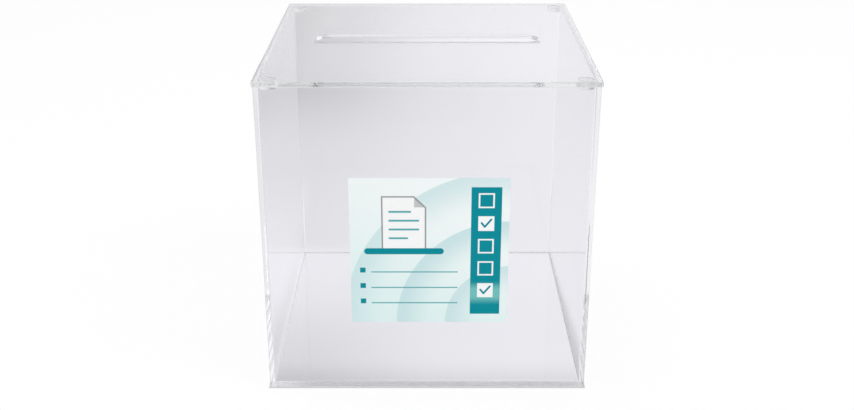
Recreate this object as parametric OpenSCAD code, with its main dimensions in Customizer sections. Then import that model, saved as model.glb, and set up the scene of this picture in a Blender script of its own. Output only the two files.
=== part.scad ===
// Clear suggestion and ballot box of 3 mm acrylic sheet, in millimetres.
// Five panels are cemented edge to face into an open cube, and a loose flat lid with a long
// slot lies on the rim, kept in place by four discs that reach down inside the corners.
// The origin is the middle of the underside. The front faces -Y, the right side +X, up is +Z.

/* [Body] */
// Width over the two side panels
body_w = 208; // [172:1:400]
// Depth from the face of the front panel to the face of the rear panel
body_d = 208; // [120:1:400]
// Height of the walls, from the underside to the rim
body_h = 207; // [152:1:400]
// Thickness of the sheet that the walls and the bottom are cut from
sheet = 3; // [2:0.5:6]
// Leg of the fine bevel along every open edge of a sheet
edge_bevel = 0.4; // [0.1:0.1:0.8]
// Leg of the hollow bead of solvent cement along each inside corner
bead_leg = 0.8; // [0.4:0.1:1.5]
// Distance that the upright beads stop short of the rim
bead_stop = 1; // [0.5:0.5:5]

/* [Lid] */
// Thickness of the lid's sheet
lid_sheet = 3; // [2:0.5:6]
// Distance that the lid stands out past the walls, on each side
lid_overhang = 1; // [0.5:0.5:5]
// Radius of the lid's four corners, seen from above
lid_corner_r = 1.5; // [1:0.5:8]
// Length of the slot from end to end
slot_l = 150; // [60:1:160]
// Width of the slot, which is also the diameter of its round ends
slot_w = 20; // [6:1:30]

/* [Locating discs] */
// Diameter of a disc
disc_d = 10; // [6:0.5:16]
// Height of a disc, which is how far it reaches down into the body
disc_h = 3; // [2:0.5:6]
// Radius of the rounded lower edge of a disc
disc_edge_r = 0.5; // [0.2:0.1:1]
// Play between a disc and each of the two walls beside it
disc_play = 0.4; // [0.3:0.1:1.5]

/* [Label] */
// Width of the label
label_w = 100; // [40:1:120]
// Height of the label
label_h = 100; // [40:1:120]
// Thickness of the label with its adhesive
label_t = 0.2; // [0.1:0.05:0.5]
// Radius of the label's corners
label_corner_r = 1; // [0.5:0.5:5]
// Distance of the label's middle to the right of the body's middle
label_right = 1.5; // [-10:0.5:10]
// Height of the label's middle above the underside
label_up = 99; // [70:1:110]

/* [Hidden] */
$fn = 96;
// Distance that a cutter runs past the faces it opens
past = 1;
inner_w = body_w - 2 * sheet;
inner_d = body_d - 2 * sheet;
lid_w = body_w + 2 * lid_overhang;
lid_d = body_d + 2 * lid_overhang;
// Distance of a disc's axis from the inner face of the walls beside it
disc_in = disc_d / 2 + disc_play;

clear_sheet = [0.90, 0.93, 0.94, 0.35];
clear_lid = [0.86, 0.90, 0.92, 0.45];
clear_disc = [0.70, 0.80, 0.76, 0.60];
cement = [0.96, 0.97, 0.98, 0.50];
label_paper = [0.00, 0.55, 0.57];

// Section of a panel of the given thickness, lying from 0 along x and from 0 up to h along y,
// with a bevel of leg c on the two outer corners, at x = 0, and on the inner top corner.
module wall_section(t, h, c) {
    polygon([[c, 0], [t, 0], [t, h - c], [t - c, h], [c, h], [0, h - c], [0, c]]);
}

// Outline of a face panel seen from above, centred along x and from 0 to t along y,
// with a bevel of leg c on the two corners at y = 0.
module face_outline(w, t, c) {
    polygon([[-w / 2, t], [-w / 2, c], [c - w / 2, 0], [w / 2 - c, 0], [w / 2, c], [w / 2, t]]);
}

// A front or rear panel: full width and full height, over the edges of the other panels.
// Its outer face is at y = 0, and its thickness runs towards +Y.
module face_panel() {
    intersection() {
        linear_extrude(body_h) face_outline(body_w, sheet, edge_bevel);
        translate([-body_w / 2, 0, 0])
            rotate([90, 0, 90])
                linear_extrude(body_w) wall_section(sheet, body_h, edge_bevel);
    }
}

// A side panel, between the front and the rear panel. Its outer face is at x = 0, and its
// thickness runs towards +X.
module side_panel() {
    translate([0, inner_d / 2, 0])
        rotate([90, 0, 0])
            linear_extrude(inner_d) wall_section(sheet, body_h, edge_bevel);
}

module front_panel() {
    color(clear_sheet) translate([0, -body_d / 2, 0]) face_panel();
}

module rear_panel() {
    color(clear_sheet) mirror([0, 1, 0]) translate([0, -body_d / 2, 0]) face_panel();
}

module left_panel() {
    color(clear_sheet) translate([-body_w / 2, 0, 0]) side_panel();
}

module right_panel() {
    color(clear_sheet) mirror([1, 0, 0]) translate([-body_w / 2, 0, 0]) side_panel();
}

// The bottom lies between the four walls, flush with their lower edges.
module bottom_panel() {
    color(clear_sheet)
        translate([-inner_w / 2, -inner_d / 2, 0]) cube([inner_w, inner_d, sheet]);
}

// Section of a bead in the corner of the x and y axes: a square less a quarter circle.
module bead_section() {
    difference() {
        square(bead_leg);
        translate([bead_leg, bead_leg]) circle(bead_leg);
    }
}

// One bead along the foot of a wall that stands at the distance d from the middle, l long.
module floor_bead(d, l) {
    translate([-d, l / 2, sheet])
        rotate([90, 0, 0])
            linear_extrude(l) bead_section();
}

// The cement that the joints leave inside: a bead round the bottom and one up each corner.
module corner_beads() {
    color(cement) union() {
        for (turn = [0, 180]) {
            rotate(turn) floor_bead(inner_w / 2, inner_d);
            rotate(turn + 90) floor_bead(inner_d / 2, inner_w);
        }
        for (sx = [0, 1], sy = [0, 1])
            mirror([sx, 0, 0])
                mirror([0, sy, 0])
                    translate([-inner_w / 2, -inner_d / 2, sheet])
                        linear_extrude(body_h - sheet - bead_stop) bead_section();
    }
}

// The label is stuck to the outer face of the front panel.
module front_label() {
    color(label_paper)
        translate([label_right, -body_d / 2, label_up])
            rotate([90, 0, 0])
                linear_extrude(label_t) {
                    square([label_w - 2 * label_corner_r, label_h], center = true);
                    square([label_w, label_h - 2 * label_corner_r], center = true);
                    for (sx = [-1, 1], sy = [-1, 1])
                        translate([sx * (label_w / 2 - label_corner_r), sy * (label_h / 2 - label_corner_r)])
                            circle(label_corner_r);
                }
}

// Section across a sheet of width w and thickness t with a bevel of leg c on all its corners.
module bevelled_section(w, t, c) {
    polygon([
        [c - w / 2, 0], [w / 2 - c, 0], [w / 2, c], [w / 2, t - c],
        [w / 2 - c, t], [c - w / 2, t], [-w / 2, t - c], [-w / 2, c]
    ]);
}

// A flat sheet with round corners of radius r, and bevelled all round, above and below.
module bevelled_sheet(w, d, t, r, c) {
    translate([0, d / 2 - r, 0])
        rotate([90, 0, 0])
            linear_extrude(d - 2 * r) bevelled_section(w, t, c);
    translate([r - w / 2, 0, 0])
        rotate([90, 0, 90])
            linear_extrude(w - 2 * r) bevelled_section(d, t, c);
    for (sx = [-1, 1], sy = [-1, 1])
        translate([sx * (w / 2 - r), sy * (d / 2 - r), 0])
            rotate_extrude()
                polygon([[0, 0], [r - c, 0], [r, c], [r, t - c], [r - c, t], [0, t]]);
}

// Half of the slot's section, from its middle line out: straight walls that flare into a bevel
// of leg c at both faces of a sheet of thickness t.
module slot_half(r, t, c) {
    polygon([[0, -past], [r + c + past, -past], [r, c], [r, t - c], [r + c + past, t + past], [0, t + past]]);
}

// The space of a slot that runs along X, with round ends.
module slot_space(l, w, t, c) {
    straight = l - w;
    translate([-straight / 2, 0, 0])
        rotate([90, 0, 90])
            linear_extrude(straight) {
                slot_half(w / 2, t, c);
                mirror([1, 0]) slot_half(w / 2, t, c);
            }
    for (side = [-1, 1])
        translate([side * straight / 2, 0, 0])
            rotate_extrude() slot_half(w / 2, t, c);
}

module lid_panel() {
    color(clear_lid)
        translate([0, 0, body_h])
            difference() {
                bevelled_sheet(lid_w, lid_d, lid_sheet, lid_corner_r, edge_bevel);
                slot_space(slot_l, slot_w, lid_sheet, edge_bevel);
            }
}

// One disc, under the lid in the corner that sx and sy point to, with its lower edge rounded.
module locating_disc(sx, sy) {
    r = disc_d / 2;
    color(clear_disc)
        translate([sx * (inner_w / 2 - disc_in), sy * (inner_d / 2 - disc_in), body_h - disc_h])
            rotate_extrude() {
                translate([0, disc_edge_r]) square([r, disc_h - disc_edge_r]);
                square([r - disc_edge_r, disc_h]);
                translate([r - disc_edge_r, disc_edge_r]) intersection() {
                    circle(disc_edge_r);
                    translate([0, -disc_edge_r]) square(2 * disc_edge_r);
                }
            }
}

bottom_panel();
front_panel();
rear_panel();
left_panel();
right_panel();
corner_beads();
front_label();
lid_panel();
locating_disc(-1, -1);  // disc_front_left
locating_disc(1, -1);  // disc_front_right
locating_disc(-1, 1);  // disc_rear_left
locating_disc(1, 1);  // disc_rear_right
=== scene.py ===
import math

import bpy
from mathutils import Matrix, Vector


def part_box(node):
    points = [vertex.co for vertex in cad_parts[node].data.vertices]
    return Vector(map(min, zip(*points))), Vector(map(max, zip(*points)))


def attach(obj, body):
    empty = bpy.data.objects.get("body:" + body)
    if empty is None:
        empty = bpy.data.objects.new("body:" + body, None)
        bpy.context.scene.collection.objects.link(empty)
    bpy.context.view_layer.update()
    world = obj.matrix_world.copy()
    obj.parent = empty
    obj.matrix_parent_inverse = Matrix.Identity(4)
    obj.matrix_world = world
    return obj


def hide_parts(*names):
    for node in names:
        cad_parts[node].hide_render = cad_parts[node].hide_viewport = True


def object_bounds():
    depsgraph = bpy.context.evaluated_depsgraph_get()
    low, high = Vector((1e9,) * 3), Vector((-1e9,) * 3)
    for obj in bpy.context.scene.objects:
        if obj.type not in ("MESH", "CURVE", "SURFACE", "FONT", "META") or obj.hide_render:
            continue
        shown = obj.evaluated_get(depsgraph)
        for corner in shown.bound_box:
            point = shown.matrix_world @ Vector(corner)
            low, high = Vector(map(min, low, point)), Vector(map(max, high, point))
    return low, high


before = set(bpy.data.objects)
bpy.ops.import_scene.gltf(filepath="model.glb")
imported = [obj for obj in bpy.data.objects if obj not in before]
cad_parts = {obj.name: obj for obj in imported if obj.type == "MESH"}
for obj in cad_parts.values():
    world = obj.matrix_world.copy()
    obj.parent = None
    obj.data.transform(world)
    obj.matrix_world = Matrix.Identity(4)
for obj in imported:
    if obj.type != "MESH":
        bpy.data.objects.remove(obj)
scene = bpy.context.scene
cad_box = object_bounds()

# The camera stands in front of the middle of the box and looks down on its lid. Its place, pitch
# and lens come from a fit to the corners of the body, the floor and the lid.
camera_pitch = 22.78
camera_data = bpy.data.cameras.new("view_camera")
camera_data.sensor_width = 36.0
camera_data.lens = 47.95
camera = bpy.data.objects.new("view_camera", camera_data)
camera.location = (0.0, -0.754, 0.404)
camera.rotation_euler = (math.radians(90.0 - camera_pitch), 0.0, 0.0)
scene.collection.objects.link(camera)
scene.camera = camera

# Light runs a long way inside clear sheet before it comes out at an edge, so the paths are long.
longest_path = 256
scene.view_settings.view_transform = "Standard"
scene.cycles.max_bounces = longest_path
scene.cycles.transmission_bounces = longest_path
scene.cycles.glossy_bounces = longest_path
scene.cycles.transparent_max_bounces = 64
scene.cycles.diffuse_bounces = 6
scene.cycles.blur_glossy = 0.0


# The floor is a wide roll of pale paper. Seen directly it is white less the box's soft shadow, which
# is partly a real shadow from the lamps and partly a painted contact shadow. Through the clear sheet
# it
# shows a painted grey instead: painted shade, darker to the left and far back, painted light to the
# right, and painted shadows and painted light streaks at the foot of the walls.
class Value:
    """A shader socket. An expression on values adds Math nodes to the tree that they are in."""

    def __init__(self, nodes, socket):
        self.nodes = nodes
        self.socket = socket

    def math(self, operation, *others, clamp=False):
        settings = {"operation": operation, "use_clamp": clamp}
        return self.nodes.add("Math", settings, dict(enumerate((self, *others))))

    def __add__(self, other):
        return self.math("ADD", other)

    def __sub__(self, other):
        return self.math("SUBTRACT", other)

    def __rsub__(self, other):
        return (self * -1.0) + other

    def __mul__(self, other):
        return self.math("MULTIPLY", other)

    def __truediv__(self, other):
        return self.math("DIVIDE", other)

    __radd__ = __add__
    __rmul__ = __mul__

    def size(self):
        """The value without its sign."""
        return self.math("ABSOLUTE")

    def root(self):
        return self.math("SQRT")

    def over(self, limit):
        """1 where the value is over the limit, and 0 elsewhere."""
        return self.math("GREATER_THAN", limit)

    def under(self, limit):
        return self.math("LESS_THAN", limit)

    def most(self, other):
        return self.math("MAXIMUM", other)

    def least(self, other):
        return self.math("MINIMUM", other)

    def clamped(self):
        return self.math("ADD", 0.0, clamp=True)

    def between(self, low, high):
        """0 where the value is at low, 1 where it is at high, and smooth from one to the other."""
        sockets = {"Value": self, "From Min": low, "From Max": high}
        return self.nodes.add("MapRange", {"interpolation_type": "SMOOTHSTEP"}, sockets, "Result")


class Nodes:
    """A node tree that starts empty, for a material or for the room."""

    def __init__(self, owner):
        owner.use_nodes = True
        self.tree = owner.node_tree
        self.tree.nodes.clear()

    def add(self, kind, settings=None, sockets=None, output=0):
        """Puts in a node. Gives back the output that is asked for, or a list where it is several."""
        node = self.tree.nodes.new("ShaderNode" + kind)
        for name, value in (settings or {}).items():
            setattr(node, name, value)
        for name, value in (sockets or {}).items():
            if isinstance(value, Value):
                self.tree.links.new(value.socket, node.inputs[name])
            else:
                node.inputs[name].default_value = value
        if isinstance(output, tuple):
            return [Value(self, node.outputs[name]) for name in output]
        return Value(self, node.outputs[output]) if node.outputs else None

    def blend(self, ground, colour, share):
        """The ground colour with another one over it, by share."""
        return self.add("Mix", {"data_type": "RGBA"}, {0: share, 6: ground, 7: colour}, 2)

    def place(self, coordinates="Object"):
        """The X, Y and Z of the shaded point in metres, or of the direction with Generated."""
        point = self.add("TexCoord", output=coordinates)
        return self.add("SeparateXYZ", sockets={"Vector": point}, output=("X", "Y", "Z"))

    def cloud(self, scale, detail):
        """Noise from 0 to 1, in lumps of about a metre divided by the scale."""
        point = self.add("TexCoord", output="Object")
        return self.add("TexNoise", sockets={"Vector": point, "Scale": scale, "Detail": detail})


class Finish(Nodes):
    """A material that is made node by node."""

    def __init__(self, name):
        self.material = bpy.data.materials.new(name)
        super().__init__(self.material)

    def surface(self, shader):
        self.add("OutputMaterial", sockets={"Surface": shader})


def rgba(*colour):
    return (*colour, 1.0)


floor_drop = 0.0004
floor_span = 12.0
bpy.ops.object.select_all(action="DESELECT")
bpy.ops.mesh.primitive_plane_add(size=floor_span, location=(0.0, 0.0, -floor_drop))
floor = bpy.context.object
floor.name = "floor"
bpy.ops.object.transform_apply(location=True)

room_through = 0.84
grey_as_seen = (0.984, 0.976, 1.0)
lid_overhang = 0.001
foot_x = (cad_box[1].x - cad_box[0].x) / 2 - lid_overhang
foot_y = (cad_box[1].y - cad_box[0].y) / 2 - lid_overhang
by_wall = foot_x + 0.0005

paper = Finish("floor_paper")
across, back, _ = paper.place()
seen_direct, seen_in_gloss, seen_through = paper.add(
    "LightPath", output=("Is Camera Ray", "Is Glossy Ray", "Is Transmission Ray"))
beside = across.size() - foot_x
before = back.size() - foot_y
outside = beside.most(before)
alongside = 1.0 - before.between(-0.004, 0.004)
in_width = 1.0 - beside.between(-0.004, 0.004)
nearness = back.between(foot_y, -foot_y)
to_right = across.between(-0.30, 0.30)
not_far_left = across.between(-0.60, -0.28)
to_left = across.between(0.02, -0.15) * not_far_left
under_box = 1.0 - outside.between(0.0, 0.02)
# A painted contact shadow round the foot of the box, turned into a painted light line by the left
# wall.
contact_painted_shadow = outside.between(-0.0014, -0.0004) * (1.0 - outside.between(0.0002, 0.0016))
left_foot_painted_light = contact_painted_shadow * across.between(-0.05, -0.10) * alongside

# Painted light by the left wall and under the rear of the box; painted shade far to the left, at the
# front left and along the front.
left_side = across.between(-0.106, -0.119) * across.between(-0.30, -0.17) * back.between(0.30, 0.12)
left_side = left_side * (0.4 + back.between(-0.09, 0.06) * 0.6)
far_left = across.between(-0.14, -0.20) * not_far_left * back.between(0.30, 0.50)
front_left = across.between(0.02, -0.09) * back.between(0.03, -0.10)
rear_floor = back.between(-0.03, 0.09) * under_box
front_floor = back.between(-0.068, -0.099) * (1.0 - outside.between(-0.002, 0.002))

# Painted shadows beside the foot of the walls, and a painted light streak with painted shade
# beside the left one. They grow wider from the rear to the front.
right_width = 0.0022 + nearness * 0.0100
right_painted_shadow = across.between(by_wall - 0.0007, by_wall + 0.0001) * (
    (across - by_wall) / right_width).between(1.0, 0.0)
left_width = 0.0014 + nearness * 0.0012
past_left = (-by_wall - across) / left_width
left_painted_light = past_left.between(-0.5, 0.0) * past_left.between(1.5, 0.8)
left_painted_shade = past_left.between(1.0, 2.0) * past_left.between(6.0, 2.5)
rear_painted_shadow = back.between(by_wall - 0.0009, by_wall + 0.0001) * back.between(0.1130, 0.1060) * in_width

# Each patch of painted light or painted shade on the floor, from 0 to 1, and the share of white
# that it adds or takes away from the painted grey that the paper shows through the sheet.
painted_floor_grey = 0.87
parts = (
    (to_right, 0.15),
    (back.between(0.15, 0.75) * (1.0 - to_right), -0.10),
    (back.between(0.104, 0.14) * to_left, -0.03),
    (back.between(0.35, 0.62) * to_left, -0.14),
    (back.between(0.55, 0.70), 0.05),
    (back.between(-0.40, -0.75), -0.22),
    (front_left, -0.15),
    (front_floor, -0.15),
    (rear_floor, 0.03),
    (rear_floor * to_left, 0.11),
    (left_side, 0.18),
    (far_left, -0.12),
    (right_painted_shadow * alongside, -0.85),
    (left_painted_light * alongside, 0.18),
    (left_painted_shade * alongside, -0.08),
    (rear_painted_shadow, -0.05),
    (rear_painted_shadow * to_right, -0.12),
    (contact_painted_shadow, -0.12),
    (left_foot_painted_light, 0.32),
)
tone = sum((part * share for part, share in parts), painted_floor_grey)
far_off = (across * across + back * back).root().between(1.2, 3.0)
tone = tone + (room_through - tone) * far_off

# Part of what the paper shows is its own glow: white when seen directly, less a painted contact
# shadow, and the painted grey with its painted light and shade through the sheet. The rest is light
# from the lamps.
contact_shadow = 0.45
white = paper.add("Emission", sockets={
    "Color": rgba(1.0, 1.0, 1.0), "Strength": 1.0 - contact_painted_shadow * contact_shadow})
grey = paper.add("Emission", sockets={"Color": rgba(*grey_as_seen), "Strength": tone})
shaded = paper.add("BsdfDiffuse", sockets={"Color": rgba(0.9, 0.9, 0.9)})
glow = paper.add("MixShader", sockets={0: seen_through, 1: white, 2: grey})
glow_share = seen_direct * 0.88 + seen_in_gloss * 0.6 + seen_through * 0.7 + far_off * 0.4
paper.surface(paper.add("MixShader", sockets={0: glow_share.clamped(), 1: shaded, 2: glow}))
floor.data.materials.append(paper.material)

# The room is a white tent round the box, with a softbox to the right and one overhead, which don't
# mirror in the sheet. Light that comes round through a cut edge is greyer from the left side.
room_light = 0.75
room_in_gloss = 0.86
higher_up = 0.20
grey_side = 0.75
lit_side = 0.45
softboxes = (
    ("right_softbox", (1.0, -0.5, 1.6), 1.0, 10.0),
    ("top_softbox", (-0.2, 0.3, 1.9), 1.2, 8.0),
)
scene.world = bpy.data.worlds.new("studio")
room = Nodes(scene.world)
seen_direct, seen_in_gloss, seen_through = room.add(
    "LightPath", output=("Is Camera Ray", "Is Glossy Ray", "Is Transmission Ray"))
rightward, _, upward = room.place("Generated")
from_left = rightward.between(0.1, -0.7) * upward.between(0.14, 0.34)
from_right = rightward.between(0.5, 0.8) * upward.between(0.08, 0.25)
level_through = room_through + upward.between(0.0, 0.3) * higher_up
level_through = level_through - from_left * grey_side + from_right * lit_side
level = room_light + seen_direct * (1.0 - room_light)
level = level + seen_through * (level_through - room_light)
level = level + seen_in_gloss * (1.0 - seen_through) * (room_in_gloss - room_light)
tent = room.add("Background", sockets={
    "Color": room.blend(rgba(1.0, 1.0, 1.0), rgba(*grey_as_seen), seen_through),
    "Strength": level,
})
room.add("OutputWorld", sockets={"Surface": tent})

for name, place, side, power in softboxes:
    lamp_data = bpy.data.lights.new(name, "AREA")
    lamp_data.shape = "RECTANGLE"
    lamp_data.size = side
    lamp_data.size_y = side
    lamp_data.energy = power
    lamp = bpy.data.objects.new(name, lamp_data)
    lamp.location = place
    lamp.visible_glossy = False
    lamp.visible_transmission = False
    aim = Vector((0.0, 0.0, 0.1)) - lamp.location
    lamp.rotation_euler = aim.to_track_quat("-Z", "Y").to_euler()
    scene.collection.objects.link(lamp)

# The five panels of the body are 3 mm clear cast acrylic, solvent cemented edge to face. A good
# joint has no film of air in it, so light passes it as if the two sheets were one. The cement
# under the bottom's front and rear edges holds a little of the light back.
acrylic_ior = 1.49
sheet_tint = (0.925, 0.925, 0.94)
edge_tint = (0.82, 0.845, 0.825)
joint_grey = (0.865, 0.865, 0.87)
tool_marks = 900.0
cut_matt, cut_marks = 0.08, 0.04
scuff_matt, scuff_marks = 0.11, 0.05
bottom_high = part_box("bottom_panel")[1]
rim_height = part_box("front_panel")[1].z
bead_leg = 0.0008
bead_stop = 0.001
past_bevel = 0.0005
touching = 0.000005
rim_share = 0.3


def acrylic(name, tint, cut, scuffed=None, joined=None, dark_line=None):
    """Clear sheet. The last four give where the surface is so, from 0 to 1: cut by a tool, finely
    matt with marks across it, and greyer, because light comes a long way through the sheet to an
    edge; scuffed; cemented to another piece; or given a painted dark line of matt grey in place of
    shade."""
    finish = Finish(name)
    marks = finish.cloud(tool_marks, 2.0).between(0.35, 0.75)
    worked = cut(finish)
    matt = worked * (cut_matt + marks * cut_marks)
    if scuffed:
        matt = matt + scuffed(finish) * (scuff_matt + marks * scuff_marks)
    skin = finish.add("BsdfPrincipled", sockets={
        "Base Color": finish.blend(rgba(*tint), rgba(*edge_tint), worked),
        "Transmission Weight": 1.0,
        "Roughness": matt,
        "IOR": acrylic_ior,
    })
    # A painted dark line: matt grey mixed in where there is shade along an edge.
    if dark_line:
        painted_dark = finish.add("BsdfDiffuse", sockets={"Color": rgba(0.5, 0.5, 0.5)})
        skin = finish.add("MixShader", sockets={0: dark_line(finish), 1: skin, 2: painted_dark})
    if joined:
        _, y, z = finish.place()
        under_end = y.size().over(bottom_high.y - touching) * z.under(bottom_high.z - touching)
        clean = finish.add("BsdfTransparent")
        greyed = finish.add("BsdfTransparent", sockets={"Color": rgba(*joint_grey)})
        joint = finish.add("MixShader", sockets={0: under_end, 1: clean, 2: greyed})
        skin = finish.add("MixShader", sockets={0: joined(finish), 1: skin, 2: joint})
    finish.surface(skin)
    return finish


def sawn(finish):
    """The upright cut edges of the front and rear panels, and less of it along the rim."""
    x, y, z = finish.place()
    past_side = x.size() - (foot_x - past_bevel)
    past_end = y.size() - bottom_high.y
    rim = z.over(rim_height - past_bevel)
    return past_side.least(past_end).over(0.0).most(rim * rim_share)


def stood_on(finish):
    """The underside, which has been stood and slid on."""
    return finish.place()[2].under(10 * touching)


def cemented(finish):
    """The joints of the body, and where the beads of cement lie against its panels."""
    x, y, z = finish.place()
    side = x.size() - bottom_high.x
    end = y.size() - bottom_high.y
    bottom = bottom_high.z - z
    below_rim = z.under(rim_height - bead_stop)

    def on(plane):
        return plane.math("COMPARE", 0.0, touching)

    def near(plane):
        return plane.over(0.0).most(plane.over(-bead_leg) * below_rim)

    on_side = on(side) * near(end).most(near(bottom))
    on_end = on(end) * near(side).most(near(bottom))
    on_bottom = on(bottom) * near(side).most(near(end))
    return on_side.most(on_end).most(on_bottom)


def wear(piece, finish):
    """Gives a piece its finish."""
    piece.data.materials.clear()
    piece.data.materials.append(finish.material)


body_acrylic = acrylic("clear_cast_acrylic", sheet_tint, sawn, stood_on, cemented)
for name in ("bottom_panel", "front_panel", "rear_panel", "left_panel", "right_panel"):
    wear(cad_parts[name], body_acrylic)

# Cement squeezed out of the joints has set as fine hollow beads along the inside corners. It came
# from a needle and is a little cloudy here and there.


def uneven(scale, most):
    """Where a skin out of a mould or a needle is cloudy, up to the most that it may be."""
    return lambda finish: finish.cloud(scale, 2.0).between(0.35, 0.70) * most


set_cement = acrylic("set_cement", (1.0, 1.0, 1.0), uneven(240.0, 0.35), joined=cemented)
wear(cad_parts["corner_beads"], set_cement)

# The lid is a loose square of the same sheet with a long round-ended slot, cut and bevelled by a
# router. It only lies on the rim, so a film of air stays between the two.
air_film = 0.00003
hair = 1e-6
lid_corner, corner_facets = 0.0015, 8
slot_length, slot_width, end_facets = 0.150, 0.020, 32
edge_bevel = 0.0004
bevel_steps = ((0.00012, 0.00028), (0.00028, 0.00012))
routed_share = 0.4
dark_line_share = 0.7
low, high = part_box("lid_panel")


def by_slot(x, y):
    """1 on the slot's walls and their bevels."""
    past_end = slot_length / 2 + edge_bevel + 0.0002
    past_side = slot_width / 2 + edge_bevel
    return x.size().under(past_end) * y.size().under(past_side)


def routed(finish):
    """The edge of the lid, and less of it along the near side of the slot."""
    x, y, _ = finish.place()
    edge = x.size().most(y.size()).over(foot_x + past_bevel)
    return edge + by_slot(x, y) * y.between(0.002, -0.008) * routed_share


def slot_painted_line(finish):
    """A painted dark line of matt grey along the near side of the slot, for shade there, shown more
    the more slanting the view.
    """
    x, y, _ = finish.place()
    slant = finish.add("LayerWeight", sockets={"Blend": 0.5}, output="Facing")
    near_side = by_slot(x, y) * y.between(-0.005, -0.009)
    return near_side * slant.between(0.12, 0.30) * dark_line_share


def outline(width, depth, radius, height, facets):
    """Adds a rounded rectangle of edges round the Z axis to the mesh in edit mode."""
    bpy.ops.mesh.primitive_plane_add(size=1.0, location=(0.0, 0.0, height))
    bpy.ops.transform.resize(value=(width, depth, 1.0), center_override=(0.0, 0.0, height))
    bpy.ops.mesh.bevel(affect="VERTICES", offset=radius, segments=facets)
    bpy.ops.mesh.delete(type="ONLY_FACE")


bpy.ops.object.select_all(action="DESELECT")
bpy.ops.mesh.primitive_plane_add(size=1.0, location=(0.0, 0.0, 0.0))
lid = bpy.context.object
lid.name = "lid_sheet"
bpy.ops.object.mode_set(mode="EDIT")
bpy.ops.mesh.select_mode(type="VERT")
bpy.ops.mesh.select_all(action="SELECT")
bpy.ops.mesh.delete(type="VERT")
foot = low.z + air_film + edge_bevel
outline(high.x - low.x, high.y - low.y, lid_corner, foot, corner_facets)
outline(slot_length, slot_width, slot_width / 2 - hair, foot, end_facets)
bpy.ops.mesh.select_all(action="SELECT")
bpy.ops.mesh.fill(use_beauty=False)
bpy.ops.mesh.select_all(action="SELECT")
rise = (0.0, 0.0, high.z - foot - edge_bevel)
bpy.ops.mesh.extrude_region_move(TRANSFORM_OT_translate={"value": rise})
bpy.ops.mesh.select_all(action="SELECT")
bpy.ops.mesh.normals_make_consistent(inside=False)
bpy.ops.mesh.select_mode(type="FACE")
for facing in (1.0, -1.0):
    bpy.ops.mesh.select_all(action="DESELECT")
    bpy.ops.object.mode_set(mode="OBJECT")
    for face in lid.data.polygons:
        face.select = face.normal.z * facing > 0.99
    bpy.ops.object.mode_set(mode="EDIT")
    for inward, outward in bevel_steps:
        bpy.ops.mesh.inset(thickness=inward, depth=outward, use_even_offset=True)
bpy.ops.object.mode_set(mode="OBJECT")
bpy.ops.object.shade_smooth_by_angle(angle=math.radians(20))
# The lid gets a painted dark line along the near side of its slot.
wear(lid, acrylic("clear_cast_acrylic_lid", sheet_tint, routed, dark_line=slot_painted_line))
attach(lid, "lid")
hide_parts("lid_panel")

# Four clear discs are glued under the corners of the lid and keep it from sliding off. They are
# moulded from a plastic that is a little cloudy, with a rounded lower edge.
disc_edge = 0.0005
glued_in = 0.00002
moulded = acrylic("clear_moulded_disc", (0.92, 0.935, 0.925), uneven(400.0, 0.6))


def pick_edges(piece, wanted):
    """Selects the edges for which wanted(a, b) is true of their two end points, and only those."""
    bpy.ops.object.mode_set(mode="EDIT")
    bpy.ops.mesh.select_mode(type="EDGE")
    bpy.ops.mesh.select_all(action="DESELECT")
    bpy.ops.object.mode_set(mode="OBJECT")
    points = piece.data.vertices
    for edge in piece.data.edges:
        a, b = (points[i].co for i in edge.vertices)
        edge.select = wanted(a, b)
    bpy.ops.object.mode_set(mode="EDIT")


for corner in ("front_left", "front_right", "rear_left", "rear_right"):
    low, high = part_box("disc_" + corner)
    top = high.z + air_film + glued_in
    middle = ((low.x + high.x) / 2, (low.y + high.y) / 2, (low.z + top) / 2)
    bpy.ops.object.select_all(action="DESELECT")
    bpy.ops.mesh.primitive_cylinder_add(
        vertices=64, radius=(high.x - low.x) / 2, depth=top - low.z, location=middle)
    disc = bpy.context.object
    disc.name = "clear_disc_" + corner
    bpy.ops.object.transform_apply(location=True)
    foot = low.z + hair
    pick_edges(disc, lambda a, b: a.z < foot and b.z < foot)
    bpy.ops.mesh.bevel(offset=disc_edge, segments=4)
    bpy.ops.object.mode_set(mode="OBJECT")
    bpy.ops.object.shade_smooth_by_angle(angle=math.radians(30))
    wear(disc, moulded)
    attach(disc, "lid")
    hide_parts("disc_" + corner)

# The label is a square of satin film with round corners, stuck to the front panel. Its front is
# printed in teal on pale mint: rings, a column of tick boxes, a slip over a slot and lines to
# write on. Its back, which shows through the clear sheet, is plain white.
low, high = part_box("front_label")
label_corner = 0.001
stuck_in = 0.00002
printed_teal = (0.001, 0.270, 0.332)
pale_teal = (0.22, 0.62, 0.57)
ring_teal = (0.62, 0.81, 0.83)
line_teal = (0.10, 0.42, 0.45)
mint = (0.77, 0.93, 0.92)
near_white = (0.94, 0.985, 0.985)
slip_white = (0.98, 0.985, 0.99)
print_grey = (0.30, 0.31, 0.31)

bpy.ops.object.select_all(action="DESELECT")
high = high + Vector((0.0, stuck_in, 0.0))
bpy.ops.mesh.primitive_cube_add(size=1.0, location=(low + high) / 2, scale=high - low)
label = bpy.context.object
label.name = "printed_label"
bpy.ops.object.transform_apply(location=True, rotation=True, scale=True)
pick_edges(label, lambda a, b: abs(a.y - b.y) > hair)
bpy.ops.mesh.bevel(offset=label_corner, segments=6)
bpy.ops.object.mode_set(mode="OBJECT")

# The print is drawn on the label's own right and up, from its lower left corner, in metres.
ink = Finish("label_print")
x, _, z = ink.place()
u = x - low.x
v = z - low.z
label_side = high.x - low.x
print_blur = 0.00015


def inside(distance):
    """1 where a distance from a shape's outline is negative, with a fine soft edge."""
    return distance.between(print_blur, -print_blur)


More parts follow.
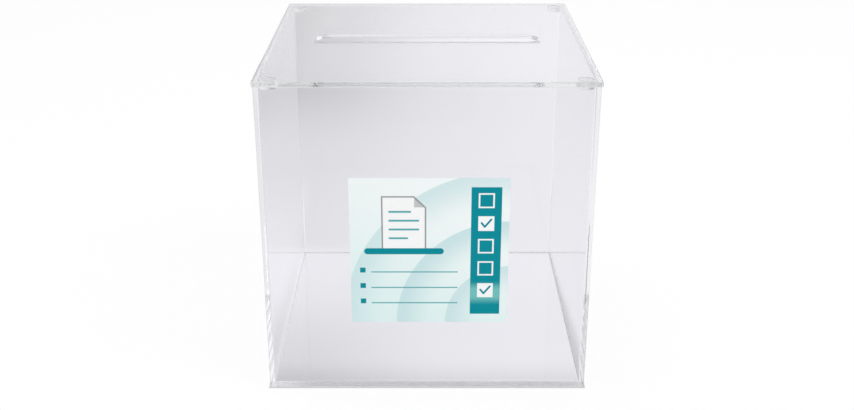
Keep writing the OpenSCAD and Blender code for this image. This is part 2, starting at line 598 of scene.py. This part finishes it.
def block(u0, v0, u1, v1):
    """Distance from a rectangle between two corners."""
    wide = (u - (u0 + u1) / 2).size() - (u1 - u0) / 2
    tall = (v - (v0 + v1) / 2).size() - (v1 - v0) / 2
    return wide.most(tall)


def square(mid_u, mid_v, half):
    return block(mid_u - half, mid_v - half, mid_u + half, mid_v + half)


def stroke(start, end, width):
    """Distance from a straight stroke with round ends."""
    du, dv = end[0] - start[0], end[1] - start[1]
    run = du * du + dv * dv
    along = (((u - start[0]) * du + (v - start[1]) * dv) / run).clamped()
    off_u = u - start[0] - along * du
    off_v = v - start[1] - along * dv
    return (off_u * off_u + off_v * off_v).root() - width / 2


def painted(ground, colour, mask):
    return ink.blend(ground, rgba(*colour), mask)


# Rings round the lower right corner, on a ground that is paler towards the top.
rings = ((0.018, 0.040, 0.9), (0.047, 0.071, 1.0), (0.078, 0.105, 0.8))
colour = painted(rgba(*mint), near_white, (v * 0.7 + u * 0.3).between(0.005, 0.085))
reach = ((label_side - u) * (label_side - u) + v * v).root()
for inner, outer, strength in rings:
    ring = reach.between(inner, outer) * inside(reach - outer) * strength
    colour = painted(colour, ring_teal, ring)

# A panel of tick boxes down the right, with a paler band across its foot.
ticked_rows = (False, True, False, False, True)
box_u, top_box_v, box_pitch = 0.0855, 0.085, 0.0155
box_half, box_line, tick_line = 0.005, 0.001, 0.0013
column = inside(block(0.076, 0.006, 0.095, 0.094))
sheen = v.between(0.012, 0.019) * v.between(0.030, 0.023) * 0.8
colour = painted(colour, printed_teal, column)
colour = painted(colour, pale_teal, column * sheen)
for row, ticked in enumerate(ticked_rows):
    box_v = top_box_v - box_pitch * row
    colour = painted(colour, slip_white, inside(square(box_u, box_v, box_half)))
    if ticked:
        left_tip = (box_u - 0.0029, box_v + 0.0004)
        turn = (box_u - 0.0009, box_v - 0.0022)
        right_tip = (box_u + 0.0031, box_v + 0.0028)
        mark = stroke(left_tip, turn, tick_line).least(stroke(turn, right_tip, tick_line))
    else:
        mark = square(box_u, box_v, box_half - box_line)
    colour = painted(colour, printed_teal, inside(mark))

# A slip with a folded corner, half way into a slot.
slip_left, slip_foot, slip_right, slip_top = 0.020, 0.050, 0.048, 0.088
fold, slip_line, text_line = 0.0075, 0.0009, 0.0013
slip_lines = ((0.0775, 0.038), (0.0715, 0.043), (0.0655, 0.043), (0.0595, 0.036))
past_fold = (u + v - (slip_right + slip_top - fold)) * math.sqrt(0.5)
slip = block(slip_left, slip_foot, slip_right, slip_top).most(past_fold)
flap = block(slip_right - fold, slip_top - fold, slip_right, slip_top).most(past_fold)
colour = painted(colour, print_grey, inside(slip))
colour = painted(colour, slip_white, inside(slip + slip_line))
colour = painted(colour, print_grey, inside(flap) * 0.6)
for height, end in slip_lines:
    line = stroke((slip_left + 0.005, height), (end, height), text_line)
    colour = painted(colour, line_teal, inside(line))
slot_line = stroke((0.011, 0.0505), (0.057, 0.0505), 0.0042)
colour = painted(colour, printed_teal, inside(slot_line))

# Lines to write on, each with a mark in front.
rule_half = 0.0004
for height in (0.036, 0.025, 0.014):
    rule = block(0.013, height - rule_half, 0.068, height + rule_half)
    mark = block(0.006, height - rule_half, 0.0095, height + 0.0031)
    colour = painted(colour, line_teal, inside(rule))
    colour = painted(colour, printed_teal, inside(mark))

grain = ink.cloud(2600.0, 2.0)
waves = ink.cloud(45.0, 1.0)
lift = ink.add("Bump", sockets={
    "Height": waves + grain * 0.02, "Strength": 0.15, "Distance": 0.0004})
ink.surface(ink.add("BsdfPrincipled", sockets={
    "Base Color": colour,
    "Roughness": 0.34 + (grain - 0.5) * 0.12,
    "Specular IOR Level": 0.07,
    "Normal": lift,
}))
adhesive = Finish("label_back")
adhesive.surface(adhesive.add("BsdfPrincipled", sockets={
    "Base Color": rgba(0.97, 0.97, 0.96),
    "Roughness": 0.45 + (adhesive.cloud(320.0, 3.0) - 0.5) * 0.3,
}))
wear(label, ink)
label.data.materials.append(adhesive.material)
for face in label.data.polygons:
    face.material_index = 1 if face.normal.y > 0.5 else 0
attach(label, "box")
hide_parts("front_label")
